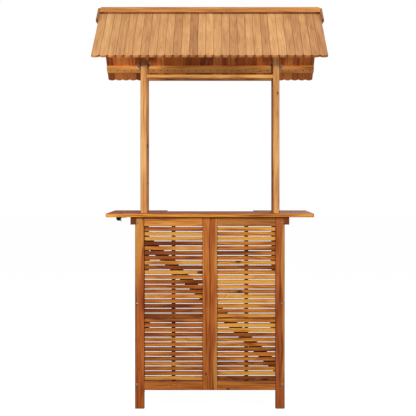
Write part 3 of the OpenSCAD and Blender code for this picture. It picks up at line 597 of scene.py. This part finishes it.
# From below, through each counter batten into the boards that it crosses
OUTER_BATTEN_X = 0.412
INNER_BATTEN_X = 0.270
batten_z = UNDER_COUNTER - BATTEN_HEIGHT - PROUD
board_middle = COUNTER_START + 0.0451
screws("counter_screws",
       [((-OUTER_BATTEN_X, board_middle, batten_z), (0, COUNTER_STEP, 0), COUNTER_BOARDS,
         (2 * OUTER_BATTEN_X, 0, 0), 2, FACING_DOWN),
        ((-INNER_BATTEN_X, board_middle + COUNTER_STEP, batten_z), (0, COUNTER_STEP, 0), COUNTER_BOARDS - 1,
         (2 * INNER_BATTEN_X, 0, 0), 2, FACING_DOWN)], zinc)

# From below, two through each end of the beams between the posts
BEAM_SCREW_X = 0.322
BEAM_SCREW_GAP = 0.018
BEAM_FACE = 1.7748
POST_ROW = 0.090
screws("beam_screws",
       [((-BEAM_SCREW_X, y - BEAM_SCREW_GAP / 2, BEAM_FACE), (0, BEAM_SCREW_GAP, 0), 2,
         (2 * BEAM_SCREW_X, 0, 0), 2, FACING_DOWN) for y in (-POST_ROW, POST_ROW)], zinc)

# Two in the opener's flange
screws("opener_screws", [((-0.461, -0.188, 1.0223), (0, 0.016, 0), 2, (0, 1, 0), 1, FACING_DOWN)], black)


# Back wall of the opener's cup: the photo shows no light through the cup

CUP_X = -0.487
CUP_Z = 1.0185
CUP_TOP = 1.0226
CUP_RADIUS = 0.0106
CUP_BACK = -0.1645
CUP_WALL = 0.001
ARC_STEPS = 24


def opener_back():
    """A 1 mm plate at the rear end of the cup, with the outline of the cup's hollow."""
    outline = [(CUP_X - CUP_RADIUS, CUP_TOP)]
    for i in range(ARC_STEPS + 1):
        angle = math.pi + math.pi * i / ARC_STEPS
        outline.append((CUP_X + CUP_RADIUS * math.cos(angle), CUP_Z + CUP_RADIUS * math.sin(angle)))
    outline.append((CUP_X + CUP_RADIUS, CUP_TOP))
    corners = len(outline)
    places = [(x, y, z) for y in (CUP_BACK - CUP_WALL, CUP_BACK) for x, z in outline]
    front = list(range(corners))
    rear = list(range(2 * corners - 1, corners - 1, -1))
    rims = [(i, i + corners, (i + 1) % corners + corners, (i + 1) % corners) for i in range(corners)]
    mesh = bpy.data.meshes.new("opener_back")
    mesh.from_pydata(places, [], [front, rear] + rims)
    mesh.materials.append(black)
    piece = bpy.data.objects.new("opener_back", mesh)
    scene.collection.objects.link(piece)
    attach(piece, "root")


opener_back()


# Floor, white surround and soft studio light

FLOOR_HALF = 30.0
SKY_FILL = 0.16             # what the surround gives the bar, where the camera sees plain white


def studio_floor():
    """Plain white floor that looks as white as the surround and keeps the bar's soft shadow."""
    material, tree = new_material("white_studio_floor")
    strength = add(tree, "ShaderNodeMath", {"operation": "MULTIPLY", 1: 0.955}, {0: seen_directly(tree)})
    white = add(tree, "ShaderNodeBsdfDiffuse", {"Color": (0.22, 0.22, 0.22, 1)})
    glow = add(tree, "ShaderNodeEmission", {"Color": (1, 1, 1, 1)}, {"Strength": strength.outputs[0]})
    both = add(tree, "ShaderNodeAddShader", links={0: white.outputs[0], 1: glow.outputs[0]})
    add(tree, "ShaderNodeOutputMaterial", links={"Surface": both.outputs[0]})
    return material


floor_mesh = bpy.data.meshes.new("studio_floor")
floor_mesh.from_pydata([(-FLOOR_HALF, -FLOOR_HALF, 0), (FLOOR_HALF, -FLOOR_HALF, 0),
                        (FLOOR_HALF, FLOOR_HALF, 0), (-FLOOR_HALF, FLOOR_HALF, 0)], [], [(0, 1, 2, 3)])
floor_mesh.materials.append(studio_floor())
floor = bpy.data.objects.new("studio_floor", floor_mesh)
scene.collection.objects.link(floor)

world = bpy.data.worlds.new("studio")
world.use_nodes = True
world.node_tree.nodes.clear()
strength = add(world.node_tree, "ShaderNodeMapRange", {"To Min": SKY_FILL, "To Max": 1.0},
               {"Value": seen_directly(world.node_tree)})
sky = add(world.node_tree, "ShaderNodeBackground", {"Color": (1, 1, 1, 1)}, {"Strength": strength.outputs[0]})
add(world.node_tree, "ShaderNodeOutputWorld", links={"Surface": sky.outputs[0]})
scene.world = world


def softbox(name, place, target, size, power):
    """A square studio lamp that faces a point, with its size in metres and its power in watts."""
    lamp = bpy.data.lights.new(name, "AREA")
    lamp.shape = "RECTANGLE"
    lamp.size = size
    lamp.size_y = size
    lamp.energy = power
    made = bpy.data.objects.new(name, lamp)
    made.location = place
    made.rotation_euler = (Vector(target) - Vector(place)).to_track_quat("-Z", "Y").to_euler()
    scene.collection.objects.link(made)


# The left lamp is the stronger, because the photo is brighter on its left
softbox("left_lamp", (-2.0, -2.2, 1.70), (-0.1, 0, 1.45), 0.8, 67)
softbox("right_lamp", (2.2, -2.4, 1.78), (0.1, 0, 1.45), 0.8, 41.5)
softbox("rear_lamp", (1.3, 3.2, 2.7), (0, 0, 1.2), 1.2, 34)
softbox("top_lamp", (0.6, -0.9, 4.2), (0.05, 0, 1.8), 1.2, 42)

scene.view_settings.view_transform = "Standard"
